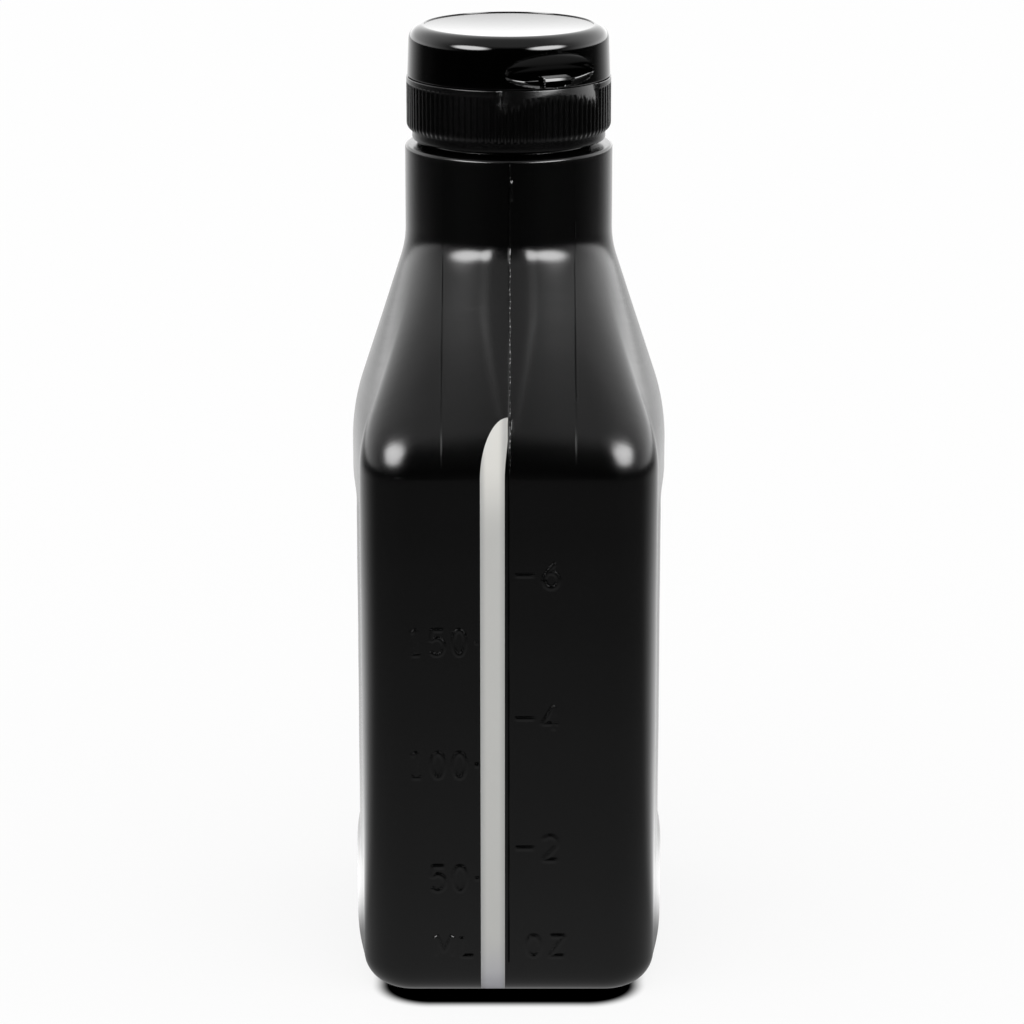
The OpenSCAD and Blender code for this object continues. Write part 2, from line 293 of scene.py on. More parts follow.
# Blow-moulded black polyethylene: soft gloss, with faint upright die lines and a slight orange peel.
# On the shoulder the melt leaves streaks that bow down to both sides of the parting line, along
# z + 16 x^2 = constant in metres.
def blownBlack():
    look = {"dark": 0.0005, "pale": 0.0011, "rough": 0.18, "roughSwing": 0.06,
            "peel": 0.000005, "dieLine": 0.000005, "streak": 0.000024, "streakRough": 0.06,
            "streakBow": 16, "shoulderFoot": (0.084, 0.09), "shoulderTop": (0.106, 0.112)}
    material, graph = newMaterial("blown_black")
    place = graph.node("ShaderNodeTexCoord", None, None, 3)
    cloud = graph.noise(place, 0.022, (1, 1, 1.6), 3)
    peel = graph.noise(place, 0.0013, (1, 1, 1.2), 3)
    dieLine = graph.noise(place, 0.0014, (1, 1, 60), 2)
    split = graph.node("ShaderNodeSeparateXYZ", None, {0: place}).socket.node
    x, z = Sock(graph, split.outputs[0]), Sock(graph, split.outputs[2])
    bowed = graph.node("ShaderNodeCombineXYZ", None, {0: x * 0.12, 2: z + x * x * look["streakBow"]})
    shoulder = graph.step(z, *look["shoulderFoot"]) * (1 - graph.step(z, *look["shoulderTop"]))
    streak = graph.noise(bowed, 0.0011, (1, 1, 1), 3, 0.6) * shoulder
    normal = graph.bump(peel, look["peel"])
    normal = graph.bump(dieLine, look["dieLine"], onto=normal)
    normal = graph.bump(streak, look["streak"], onto=normal)
    finishMaterial(graph, {
        "Base Color": graph.blendColour(cloud, grey(look["dark"]), grey(look["pale"], -0.03)),
        "Roughness": look["rough"] + cloud * look["roughSwing"] + streak * look["streakRough"],
        "Normal": normal,
        "IOR": 1.5,
    })
    return material


# The mould's joints leave sunken lines. Here they are low ridges of a black that holds hardly any gloss:
# painted shade that stands for the dark of the sunken lines
def paintedGrooveShade():
    material, graph = newMaterial("painted_groove_shade")
    place = graph.node("ShaderNodeTexCoord", None, None, 3)
    cloud = graph.noise(place, 0.002, (1, 1, 3), 3)
    finishMaterial(graph, {
        "Base Color": graph.blendColour(cloud, grey(0.0002), grey(0.0006)),
        "Roughness": 0.18 + cloud * 0.14,
        "IOR": 1.2,
    })
    return material


# Undyed polyethylene of the stripe: milky, with painted light that makes it brighter on the shoulder
# where the light falls on it and painted shade that makes it greyer low down where it turns under the
# heel, and darker along its edges where the black of the wall shows through
def milkyStripe():
    look = {"body": (0.53, 0.53, 0.51, 1), "bright": (0.76, 0.75, 0.71, 1),
            "low": (0.44, 0.44, 0.47, 1), "edge": (0.3, 0.3, 0.3, 1), "edgeShare": 0.55, "cloudShare": 0.12,
            "brightFrom": (0.074, 0.086), "heelShadeUntil": (0.001, 0.011)}
    material, graph = newMaterial("milky_stripe")
    place = graph.node("ShaderNodeTexCoord", None, None, 3)
    height = graph.node("ShaderNodeSeparateXYZ", None, {0: place}, 2)
    across = graph.node("ShaderNodeSeparateXYZ", None, {0: place}, 0)
    middle = -(stripe["near"] + stripe["far"]) / 2 * mm
    halfWide = (stripe["far"] - stripe["near"]) / 2 * mm
    fromMiddle = (across - middle).math("ABSOLUTE")
    edge = graph.step(fromMiddle, halfWide * 0.45, halfWide * 1.02)
    cloud = graph.noise(place, 0.006, (1, 1, 9), 3)
    # Painted highlight: the colour turns brighter up the shoulder
    up = graph.step(height, *look["brightFrom"])
    # Painted shade: the colour turns greyer towards the heel
    down = 1 - graph.step(height, *look["heelShadeUntil"])
    colour = graph.blendColour(down, look["body"], look["low"])
    colour = graph.blendColour(up, colour, look["bright"])
    colour = graph.blendColour(edge * look["edgeShare"], colour, look["edge"])
    colour = graph.blendColour(cloud * look["cloudShare"], colour, look["edge"])
    finishMaterial(graph, {
        "Base Color": colour,
        "Roughness": 0.3 + cloud * 0.1,
        "Normal": graph.bump(cloud, 0.00001),
        "IOR": 1.5,
    })
    return material


# Injection-moulded black polypropylene. A polished tool gives the lid its gloss, and a spark-worn
# one gives the skirt its satin grain.
def mouldedBlack(name, look):
    material, graph = newMaterial(name)
    place = graph.node("ShaderNodeTexCoord", None, None, 3)
    cloud = graph.noise(place, 0.009, (1, 1, 1), 3)
    grain = graph.noise(place, look["grainSize"], (1, 1, 1), 3, 0.6)
    handled = graph.step(graph.noise(place, 0.003, (1, 2, 1), 5, 0.7), 0.58, 0.75)
    finishMaterial(graph, {
        "Base Color": graph.blendColour(cloud, grey(look["dark"]), grey(look["pale"], -0.02)),
        "Roughness": look["rough"] + cloud * look["roughSwing"] + handled * look["handled"],
        "Normal": graph.bump(grain, look["grain"]),
        "IOR": 1.49,
    })
    return material


# Closed-cell foam of the liner
def linerFoam():
    material, graph = newMaterial("liner_foam")
    place = graph.node("ShaderNodeTexCoord", None, None, 3)
    cell = graph.node("ShaderNodeTexVoronoi", None, {"Vector": place, "Scale": 2600.0})
    cloud = graph.noise(place, 0.004, (1, 1, 1), 3)
    finishMaterial(graph, {
        "Base Color": graph.blendColour(cloud, (0.8, 0.8, 0.77, 1), (0.88, 0.88, 0.86, 1)),
        "Roughness": 0.65 + cell * 0.2,
        "Normal": graph.bump(cell, 0.00005),
    })
    return material


stripe = {"near": 0.6, "far": 4.3, "top": 92.2, "bend": 83.2, "start": 22.0}
blackBottle = blownBlack()
grooveShadeMaterial = paintedGrooveShade()
naturalStripe = milkyStripe()
closureBlack = mouldedBlack("closure_satin", {
    "dark": 0.0009, "pale": 0.0018, "rough": 0.2, "roughSwing": 0.06, "handled": 0.05,
    "grain": 0.000006, "grainSize": 0.00035})
lidBlack = mouldedBlack("lid_gloss", {
    "dark": 0.0002, "pale": 0.0005, "rough": 0.08, "roughSwing": 0.04, "handled": 0.03,
    "grain": 0.0000012, "grainSize": 0.0011})
foam = linerFoam()
print("materials made")

# The bottle's body

body = {
    "halfX": bottleHigh[0], "halfY": bottleHigh[1], "upright": 83.0, "shoulderRise": 30.3,
    "sideRise": 31.5, "cornerR": 8.0, "heelR": 5.0, "sideTurn": 14.5, "faceTurn": 27.0, "wall": 1.0,
    "stand": 2.5, "pushUp": 2.5, "pushRun": 4.0, "crown": 1.75, "panelRise": 0.6,
    "panelLow": 17.0, "panelTop": 79.0, "panelHalf": 20.0, "panelBlend": 4.0,
    "collarR": 16.0, "collarTop": 128.6, "collarEdge": 0.45, "collarBlend": 0.8, "bulge": 0.5,
    "collarWall": 1.2, "neckR": 12.6, "neckWall": 1.7, "rim": bottleHigh[2], "rimEdge": 0.35,
    "bulgeFrom": 3, "bulgeLong": 27, "neckFillet": 0.4,
}
body["collarZ"] = body["upright"] + body["shoulderRise"]


# Distance of a side from the axis at height z: upright at the distance h, then an arc of radius r,
# then the straight line that touches the arc and reaches the collar's radius at its foot
def halfAt(h, r, rise, z):
    reach = body["collarR"] - h + r
    slope = math.atan2(rise, reach) - math.acos(r / math.hypot(reach, rise))
    up = z - body["upright"]
    onArc = h - r + np.sqrt(np.maximum(r * r - np.clip(up, 0, r * math.sin(slope)) ** 2, 0))
    onLine = h - r + r * math.cos(slope) - (up - r * math.sin(slope)) * math.tan(slope)
    return np.where(up < r * math.sin(slope), onArc, onLine)


# How far the section has turned from an oblong into a circle
def roundness(z):
    return ease((z - body["upright"]) / body["shoulderRise"])


# Half sizes of the outside at height z, rounded into the collar. The narrow sides bulge a little on
# the slope, by half a sine.
def halves(z):
    along = np.clip((z - body["upright"] - body["bulgeFrom"]) / body["bulgeLong"], 0, 1)
    bulge = body["bulge"] * np.sin(math.pi * along)
    halfX = halfAt(body["halfX"], body["faceTurn"], body["shoulderRise"], z)
    halfY = halfAt(body["halfY"], body["sideTurn"], body["sideRise"], z) + bulge
    return [softMax(half, body["collarR"], body["collarBlend"]) for half in (halfX, halfY)]


# Height of the raised land that the mould's pinch leaves along the parting line on the shoulder:
# full within a half width that varies with the height, and falling to nothing at its outline
land = {"rise": 0.13, "edge": 2.0, "z": [88.5, 92.2, 99.7, 105.8, 110, 113, 115.5],
        "half": [0.2, 1.3, 2.8, 3.7, 3.6, 3.4, 3.2]}


def landRise(x, z):
    half = np.interp(z, land["z"], land["half"])
    there = ease((z - land["z"][0]) / 2) * ease((land["z"][-1] - z) / 1.2)
    return land["rise"] * there * ease((half - np.abs(x)) / land["edge"] + 0.5)


# Points of sections at the heights z (rows) for columns that each lie on a broad face, a corner or a
# narrow side. The section is an oblong with round corners and swollen broad faces, and each point
# is drawn along its ray towards an ellipse as the shoulder turns round.
def sections(z, halfX, halfY, corner, turn, columns):
    kind, signX, signY, share = columns
    crown = body["crown"] * (1 - turn)
    post = halfX - crown
    cx, cy = post - corner, halfY - corner
    y = cy * share
    blend = body["panelBlend"]
    sunk = ease((z - body["panelLow"]) / blend) * ease((body["panelTop"] - z) / blend)
    flat = body["panelRise"] * (1 - ease((np.abs(y) - body["panelHalf"]) / blend))
    swell = mix(body["crown"] * (1 - share ** 2), flat, sunk) * (1 - turn)
    angle = share * math.pi / 2
    x = np.where(kind == 0, signX * (post + swell),
                 np.where(kind == 1, signX * (cx + corner * np.cos(angle)), cx * share))
    y = np.where(kind == 0, y,
                 np.where(kind == 1, signY * (cy + corner * np.sin(angle)), signY * halfY))
    pull = mix(1, 1 / np.hypot(x / halfX, y / halfY), turn)
    return x * pull, y * pull


# The point of a narrow side at the distance x from the parting line and the height z, and the
# outward direction there, found by sliding along the section at that height
def onSide(x, z, facing):
    def point(x, z):
        across = np.abs(x)
        shares = np.concatenate([np.linspace(0, 1, 60), np.linspace(1, 0, 40)[1:]])[None, :]
        kind = np.concatenate([np.full(60, 2), np.full(39, 1)])[None, :]
        level = z[:, None]
        halfX, halfY = halves(level)
        sx, sy = sections(level, halfX, halfY, body["cornerR"], roundness(level), (kind, 1, 1, shares))
        i = np.clip((sx < across[:, None]).sum(1), 1, sx.shape[1] - 1)
        row = np.arange(len(x))
        t = (across - sx[row, i - 1]) / (sx[row, i] - sx[row, i - 1])
        y = mix(sy[row, i - 1], sy[row, i], t) + landRise(x, z)
        return np.stack([x, facing * y, z], -1)

    here = point(x, z)
    alongX = point(x + 0.02, z) - point(x - 0.02, z)
    alongZ = point(x, z + 0.02) - point(x, z - 0.02)
    outward = np.cross(alongX, alongZ) * -facing
    return here, outward / np.linalg.norm(outward, axis=1)[:, None]


# Very slight waves of the blown wall, in millimetres: products of sines of the place
def waviness(x, y, z):
    broad = 0.012 * np.sin(z * 0.19 + x * 0.11) * np.sin(y * 0.13 + 1.3)
    return broad + 0.008 * np.sin(z * 0.47 + y * 0.2)


# The whole wall as one closed skin: from the middle of the base out, up the outside, over the rim
# and down the inside to the middle of the floor
def bottleSkin():
    faceShare = np.linspace(-1, 1, 41)
    sideShare = np.linspace(-1, 1, 73)
    cornerShare = np.linspace(0, 1, 17)[1:-1]
    lanes = [(0, 1, 0, faceShare), (1, 1, 1, cornerShare), (2, 0, 1, -sideShare),
             (1, -1, 1, cornerShare[::-1]), (0, -1, 0, -faceShare), (1, -1, -1, cornerShare),
             (2, 0, -1, sideShare), (1, 1, -1, cornerShare[::-1])]
    counts = [len(lane[3]) for lane in lanes]
    columns = [np.repeat([lane[i] for lane in lanes], counts)[None, :] for i in range(3)]
    columns.append(np.concatenate([lane[3] for lane in lanes])[None, :])

    foot = body["heelR"] + body["stand"]
    heel = np.radians(np.linspace(0, 90, 12))
    slope = np.linspace(0, 1, 9)[1:-1]
    outerBase = np.concatenate([
        [[body["pushUp"], inset] for inset in (23.2, 20, 16.5, foot + body["pushRun"] + 0.8)],
        np.stack([body["pushUp"] * (1 - ease(slope)), foot + body["pushRun"] * (1 - slope)], -1),
        [[0, foot], [0, foot - 1]],
        np.stack([body["heelR"] * (1 - np.cos(heel)), body["heelR"] * (1 - np.sin(heel))], -1),
    ])
    panelEdge = np.linspace(-0.15, 1.15, 10) * body["panelBlend"]
    upright = np.concatenate([
        np.linspace(6.5, 15.5, 5), body["panelLow"] + panelEdge, np.linspace(24, 72, 17),
        body["panelTop"] - panelEdge[::-1], np.linspace(81, 82.6, 3),
    ])
    shoulder = np.linspace(body["upright"], body["collarZ"] + 3.5, 66)
    collar = np.linspace(body["collarZ"] + 4.5, body["collarTop"] - body["collarEdge"] - 0.6, 8)
    outside = np.concatenate([upright, shoulder, collar])
    outerRows = np.concatenate([outerBase, np.stack([outside, np.zeros_like(outside)], -1)])

    edge, rimEdge, fillet = body["collarEdge"], body["rimEdge"], body["neckFillet"]
    bore = body["neckR"] - body["neckWall"]
    inCollar = body["collarR"] - body["collarWall"]
    ledge = body["collarTop"] - body["collarWall"]
    lathe = np.concatenate([
        arc((body["collarR"] - edge, body["collarTop"] - edge), edge, 0, 90, 8),
        [[14.2, body["collarTop"]], [13.2, body["collarTop"]]],
        arc((body["neckR"] + fillet, body["collarTop"] + fillet), fillet, 270, 180, 5),
        [[body["neckR"], z] for z in np.linspace(130.5, body["rim"] - rimEdge - 0.3, 6)],
        arc((body["neckR"] - rimEdge, body["rim"] - rimEdge), rimEdge, 0, 90, 5),
        arc((bore + rimEdge, body["rim"] - rimEdge), rimEdge, 90, 180, 5),
        [[bore, 133.0], [bore, ledge + 0.6], [bore + 0.5, ledge], [inCollar - 1.2, ledge - 0.3],
         [inCollar, ledge - 1.6], [inCollar, 121.0], [inCollar, body["collarZ"] + 1.2]],
    ])

    inner = body["wall"]
    innerR = body["heelR"] - inner
    heelIn = np.radians(np.linspace(90, 0, 8))
    insideUp = np.concatenate([
        np.linspace(body["collarZ"] - 0.2, body["upright"], 26),
        body["panelTop"] - panelEdge[::3], np.linspace(68, 24, 6), body["panelLow"] + panelEdge[::-3],
    ])
    inside = np.concatenate([
        np.stack([insideUp, np.full_like(insideUp, inner)], -1),
        np.stack([inner + innerR * (1 - np.cos(heelIn)), inner + innerR * (1 - np.sin(heelIn))], -1),
        [[inner, foot], [inner + body["pushUp"] * 0.5, foot + body["pushRun"] * 0.5],
         [inner + body["pushUp"], foot + body["pushRun"]], [inner + body["pushUp"], 16.5],
         [inner + body["pushUp"], 23.0]],
    ])

    # Pairs of height and inset made into rows of height, half sizes, corner radius and roundness
    def bodyRows(rows):
        z, inset = rows[:, :1], rows[:, 1:]
        halfX, halfY = halves(z)
        return np.concatenate([z, halfX - inset, halfY - inset, np.maximum(1, body["cornerR"] - inset),
                               roundness(z)], 1)

    full = np.ones((len(lathe), 1))
    latheRows = np.concatenate([lathe[:, 1:], lathe[:, :1], lathe[:, :1], full * body["cornerR"], full], 1)
    rows = np.concatenate([bodyRows(outerRows), latheRows, bodyRows(inside)])
    z, halfX, halfY, corner, turn = [rows[:, i:i + 1] for i in range(5)]
    x, y = sections(z, halfX, halfY, corner, turn, columns)

    # The land stands out of the narrow sides, and the outside below the collar is slightly wavy
    outer = (np.arange(len(rows)) < len(outerRows))[:, None]
    onNarrow = outer & (np.abs(y) > 0.5 * halfY)
    y = y + np.where(onNarrow, np.sign(y) * landRise(x, z), 0)
    wavy = outer & (z > 6) & (z < body["collarZ"])
    swing = 1 + np.where(wavy, waviness(x, y, z) / 24, 0)
    return skin(np.stack([x * swing, y * swing, z + 0 * x], -1))


# A prism over the stripe's outline, seen from the front: upright edges, and a top that bends over to
# the parting line by a quarter ellipse on its far side
def stripePrism():
    t = np.linspace(0, 1, 25)
    far = np.stack([-stripe["far"] * np.cos(t * math.pi / 2),
                    mix(stripe["bend"], stripe["top"], np.sin(t * math.pi / 2))], -1)
    near = np.stack([-stripe["near"] * (1 - ease(t)), mix(stripe["bend"], stripe["top"] - 0.4, t)], -1)
    base = -2.0
    rise = np.linspace(base, stripe["bend"], 20)[:-1]
    left = np.concatenate([np.stack([np.full(19, -stripe["far"]), rise], -1), far])
    right = np.concatenate([np.stack([np.full(19, -stripe["near"]), rise], -1), near])
    outline = np.concatenate([right, left[::-1]])
    depth = np.array([-body["halfY"] - 2, -stripe["start"]])
    grid = np.stack(np.broadcast_arrays(outline[None, :, 0], depth[:, None], outline[None, :, 1]), -1)
    points, quads, fans = skin(grid)
    return points, quads[:, ::-1], fans[:, ::-1]


# Keeps what a piece shares with a cutter, or what it doesn't
def cut(piece, cutter, operation):
    tool = piece.modifiers.new("cut", "BOOLEAN")
    tool.operation, tool.solver, tool.object = operation, "MANIFOLD", cutter
    ready = piece.evaluated_get(bpy.context.evaluated_depsgraph_get())
    mesh = bpy.data.meshes.new_from_object(ready)
    piece.modifiers.clear()
    piece.data = mesh
    mesh.shade_smooth()
    mesh.set_sharp_from_angle(angle=math.radians(35))
    print(piece.name, operation.lower(), len(mesh.polygons), "faces")


shellSkin = bottleSkin()
bottlePiece = build("bottle_wall", [shellSkin], blackBottle)
stripePiece = build("level_stripe_inlay", [shellSkin], naturalStripe)
prism = build("stripe_cutter", [stripePrism()], naturalStripe)
cut(bottlePiece, prism, "DIFFERENCE")
cut(stripePiece, prism, "INTERSECT")
bpy.data.objects.remove(prism)
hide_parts("bottle")
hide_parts("level_stripe")

# Lines that the mould leaves: the parting line, the edges of the pinch inserts and the top edge of
# the upright mould block

moulding = {
    "creaseWide": 0.3, "creaseRise": 0.05, "flashWide": 0.2, "flashRise": 0.14, "flashAt": 0.2,
    "insertAt": 10.1, "insertWide": 0.26, "insertRise": 0.06, "insertLow": 84.5,
    "edgeZ": 83.4, "edgeWide": 0.22, "edgeRise": 0.02, "edgeSpans": [(-17.5, -4.7), (0.5, 17.5)],
    "beads": [(122.4, 125.6), (90.2, 92.0)], "beadAt": 0.45, "beadWide": 0.55, "beadRise": 0.24,
}


# A ridge over the points x, z of a narrow side
def mouldLine(x, z, facing, width, rise):
    path, outward = onSide(x, z, facing)
    return ridge(path, outward, width, rise)


# The crease of the parting line, and beside it the broken thread of flash that stands up here and
# there, by the product of two sines
def partingLines(facing):
    z = np.linspace(6, body["collarTop"] - body["collarEdge"], 300)
    crease = mouldLine(np.zeros_like(z), z, facing, moulding["creaseWide"], moulding["creaseRise"])
    z = np.linspace(84, body["collarTop"] - 0.2, 420)
    broken = np.clip(np.sin(z * 2.3) * np.sin(z * 5.1 + 1) + 0.25, 0, 1)
    grown = moulding["flashRise"] * (0.12 + broken * mix(1.3, 0.5, ease((z - 88) / 20)))
    path, outward = onSide(moulding["flashAt"] + 0.05 * np.sin(z * 1.7), z, facing)
    flash = ridge(path, outward, moulding["flashWide"], grown)
    return crease, flash


# On both narrow sides: the parting line with its flash, short beads where the flash was torn off,
# upright edges of the inserts, and the level edge of the mould block
def mouldLines():
    grooveShaded, glossy = [], []
    for facing in (-1, 1):
        crease, flash = partingLines(facing)
        grooveShaded.append(crease)
        glossy.append(flash)
        for low, high in moulding["beads"]:
            z = np.linspace(low, high, 20)
            x = np.full_like(z, moulding["beadAt"])
            glossy.append(mouldLine(x, z, facing, moulding["beadWide"], moulding["beadRise"]))
        for side in (-1, 1):
            z = np.linspace(moulding["insertLow"], body["collarTop"] - body["collarEdge"], 160)
            x = np.full_like(z, side * moulding["insertAt"])
            grooveShaded.append(mouldLine(x, z, facing, moulding["insertWide"], moulding["insertRise"]))
        for start, end in moulding["edgeSpans"]:
            x = np.linspace(start, end, 60)
            z = np.full_like(x, moulding["edgeZ"])
            grooveShaded.append(mouldLine(x, z, facing, moulding["edgeWide"], moulding["edgeRise"]))
    return grooveShaded, glossy


grooveShadedLines, glossyLines = mouldLines()
# Painted shade: the creases are ridges in a dull black that stands for the dark of sunken grooves
creasePiece = build("mould_creases", grooveShadedLines, grooveShadeMaterial)
flashPiece = build("parting_flash", glossyLines, blackBottle)

# Raised volume marks on the narrow side: millilitres to the left and fluid ounces to the right

marks = {
    "wide": 2.9, "digitHigh": 3.95, "digitPitch": 3.3, "unitHigh": 3.3, "unitPitch": 3.65,
    "stroke": 1.15, "rise": 0.14, "step": 0.15,
    "left": [("150", 57.7), ("100", 38.1), ("50", 19.7)], "right": [("6", 68.3), ("4", 45.6), ("2", 24.7)],
    "leftEnd": -6.05, "leftTick": (-5.25, -4.45), "rightTick": (0.95, 3.95), "rightDigit": 4.95,
    "unitZ": 8.6, "millilitre": -11.4, "ounce": 2.4,
}


# A round stroke: part of an ellipse
def arcStroke(centre, radii, start, end):
    return arc(centre, radii, start, end, 28)


# Each character is a list of strokes in a cell 1 wide and 1 high, and True marks a closed stroke
characters = {
    "0": [(arcStroke((0.5, 0.5), (0.32, 0.5), 90, 450)[:-1], True)],
    "1": [(np.array([(0.24, 0.84), (0.5, 1), (0.5, 0)]), False), (np.array([(0.24, 0), (0.76, 0)]), False)],
    "2": [(np.concatenate([
        arcStroke((0.48, 0.7), (0.36, 0.3), 160, -35), [(0.1, 0), (0.88, 0)]]), False)],
    "4": [(np.array([(0.66, 0), (0.66, 1), (0.08, 0.3), (0.92, 0.3)]), False)],
    "5": [(np.concatenate([
        [(0.82, 1), (0.24, 1), (0.16, 0.56)], arcStroke((0.46, 0.33), (0.38, 0.33), 128, -150)]), False)],
    "6": [(np.concatenate([
        [(0.74, 1), (0.42, 0.74)], arcStroke((0.5, 0.31), (0.37, 0.31), 165, -190)]), False)],
    "M": [(np.array([(0.06, 0), (0.06, 1), (0.5, 0.25), (0.94, 1), (0.94, 0)]), False)],
    "L": [(np.array([(0.16, 1), (0.16, 0), (0.84, 0)]), False)],
    "O": [(arcStroke((0.5, 0.5), (0.35, 0.5), 90, 450)[:-1], True)],
    "Z": [(np.array([(0.1, 1), (0.88, 1), (0.1, 0), (0.9, 0)]), False)],
}


# Points at even steps along a stroke
def evenly(points, closed):
    loop = np.concatenate([points, points[:1]]) if closed else points
    length = np.concatenate([[0], np.cumsum(np.linalg.norm(np.diff(loop, axis=0), axis=1))])
    at = np.linspace(0, length[-1], max(8, int(length[-1] / marks["step"])), endpoint=not closed)
    return np.stack([np.interp(at, length, loop[:, i]) for i in range(2)], -1)


# One raised stroke on the narrow side that faces the camera
def mark(points, closed=False):
    spaced = evenly(points, closed)
    path, outward = onSide(spaced[:, 0], spaced[:, 1], -1)
    return ridge(path, outward, marks["stroke"], marks["rise"], closed)


# A word that starts at x, with its middle at the height z, one cell for each character
def writeMark(word, x, z, high, pitch):
    made = []
    for i, character in enumerate(word):
        for stroke, closed in characters[character]:
            cell = stroke * [marks["wide"], high] + [x + i * pitch, z - high / 2]
            made.append(mark(cell, closed))
    return made


# Both scales with their ticks, and the two units under them
def volumeMarks():
    made = []
    high, pitch = marks["digitHigh"], marks["digitPitch"]
    for word, z in marks["left"]:
        start = marks["leftEnd"] - marks["wide"] - (len(word) - 1) * pitch
        made += writeMark(word, start, z, high, pitch)
        made.append(mark(np.array([(marks["leftTick"][0], z), (marks["leftTick"][1], z)])))
    for word, z in marks["right"]:
        made += writeMark(word, marks["rightDigit"], z, high, pitch)
        made.append(mark(np.array([(marks["rightTick"][0], z), (marks["rightTick"][1], z)])))
    for word, x in (("ML", marks["millilitre"]), ("OZ", marks["ounce"])):
        made += writeMark(word, x, marks["unitZ"], marks["unitHigh"], marks["unitPitch"])
    return made


marksPiece = build("volume_marks", volumeMarks(), blackBottle)

# Screw thread on the neck and in the closure

thread = {"pitch": 4.2333, "depth": 1.15, "foot": 2.1, "crest": 0.9, "turns": 1.45, "topZ": 135.6,
          "closureTurns": 1.3, "closureR": 14.05, "closureDepth": 0.95, "drop": 1.95}


# A ridge along a helix: the angle runs evenly, the height rises one pitch a turn, and the profile is
# a trapezium that dies out at both ends
def helix(radius, depth, turns, endZ, startAngle, outwards):
    t = np.linspace(0, 1, int(120 * turns))
    angle = startAngle + t * turns * 2 * math.pi
    z = endZ - (1 - t) * turns * thread["pitch"]
    fade = ease(t * turns * 5 + 0.02) * ease((1 - t) * turns * 5 + 0.02)
    across = np.array([-thread["foot"], -thread["crest"], thread["crest"], thread["foot"]]) / 2
    lift = np.array([-0.15, depth, depth, -0.15])
    if outwards:
        across, lift = across[::-1], lift[::-1]
    reach = radius + (1 if outwards else -1) * np.where(lift > 0, lift * fade[:, None], lift)
    grid = np.stack([reach * np.cos(angle)[:, None], reach * np.sin(angle)[:, None],
                     z[:, None] + across[None, :] * (0.55 + 0.45 * fade[:, None])], -1)
    return skin(grid)


neckThread = build("neck_thread", [helix(
    body["neckR"], thread["depth"], thread["turns"], thread["topZ"], 0.4, True)], blackBottle, 25)

# The screw closure

closure = {
    "skirtZ": closureLow[2], "jointZ": 139.1, "deckTop": 139.9, "spoutTop": closureHigh[2],
    "underDeck": 138.1, "r": 15.75, "inR": 14.05, "deckR": 13.9, "spoutR": 4.2, "spoutTip": 3.88,
    "holeR": 2.3, "ribs": 96, "ribDepth": 0.36, "ribTop": 138.3, "bandTop": 130.8, "bandStep": 0.85,
    "perRib": 8, "ribRound": 1.2, "ribCrest": 0.22, "ribFlank": 0.5, "lipEdge": 0.3, "jointEdge": 0.12,
    "dishLean": 0.2, "dishMiddle": 0.9, "dishEnd": 3.1, "dishTurn": 33, "deckEdge": 0.25,
    "spoutFillet": 0.6, "spoutEdge": 0.4, "holeEdge": 0.35, "scoopTurn": 27,
}
scoopAngle = math.radians(closure["scoopTurn"] - 90)


# The ribs swing smoothly around the skirt and stop at both bands. Under the thumb scoop they give
# way to a smooth face that leans in towards the joint. Its lower edge is an arch, low at the two ends
# and high in the middle.
def closureRadius(radius, height, angle):
    phase = np.abs((angle * closure["ribs"] / (2 * math.pi)) % 1 - 0.5) * 2
    rib = ease((phase - closure["ribCrest"]) / closure["ribFlank"])
    ribbed = ease((height - closure["bandTop"]) / 0.5) * ease((closure["ribTop"] - height) / 0.25)
    outside = radius > closure["inR"] + 0.5
    turned = np.degrees(np.arctan2(np.sin(angle - scoopAngle), np.cos(angle - scoopAngle)))
    aside = np.abs(turned) / closure["dishTurn"]
    inside = mix(closure["dishMiddle"], closure["dishEnd"], aside ** 1.4) - (closure["jointZ"] - height)
    ends = ease((1.06 - aside) / 0.16)
    groove = closure["ribDepth"] * (1 - rib) * ribbed * (1 - ends * ease((inside + 0.5) / 0.5))
    dish = closure["dishLean"] * softMax(inside, 0, 0.5) * ends
    return radius - np.where(outside, groove + dish, 0)


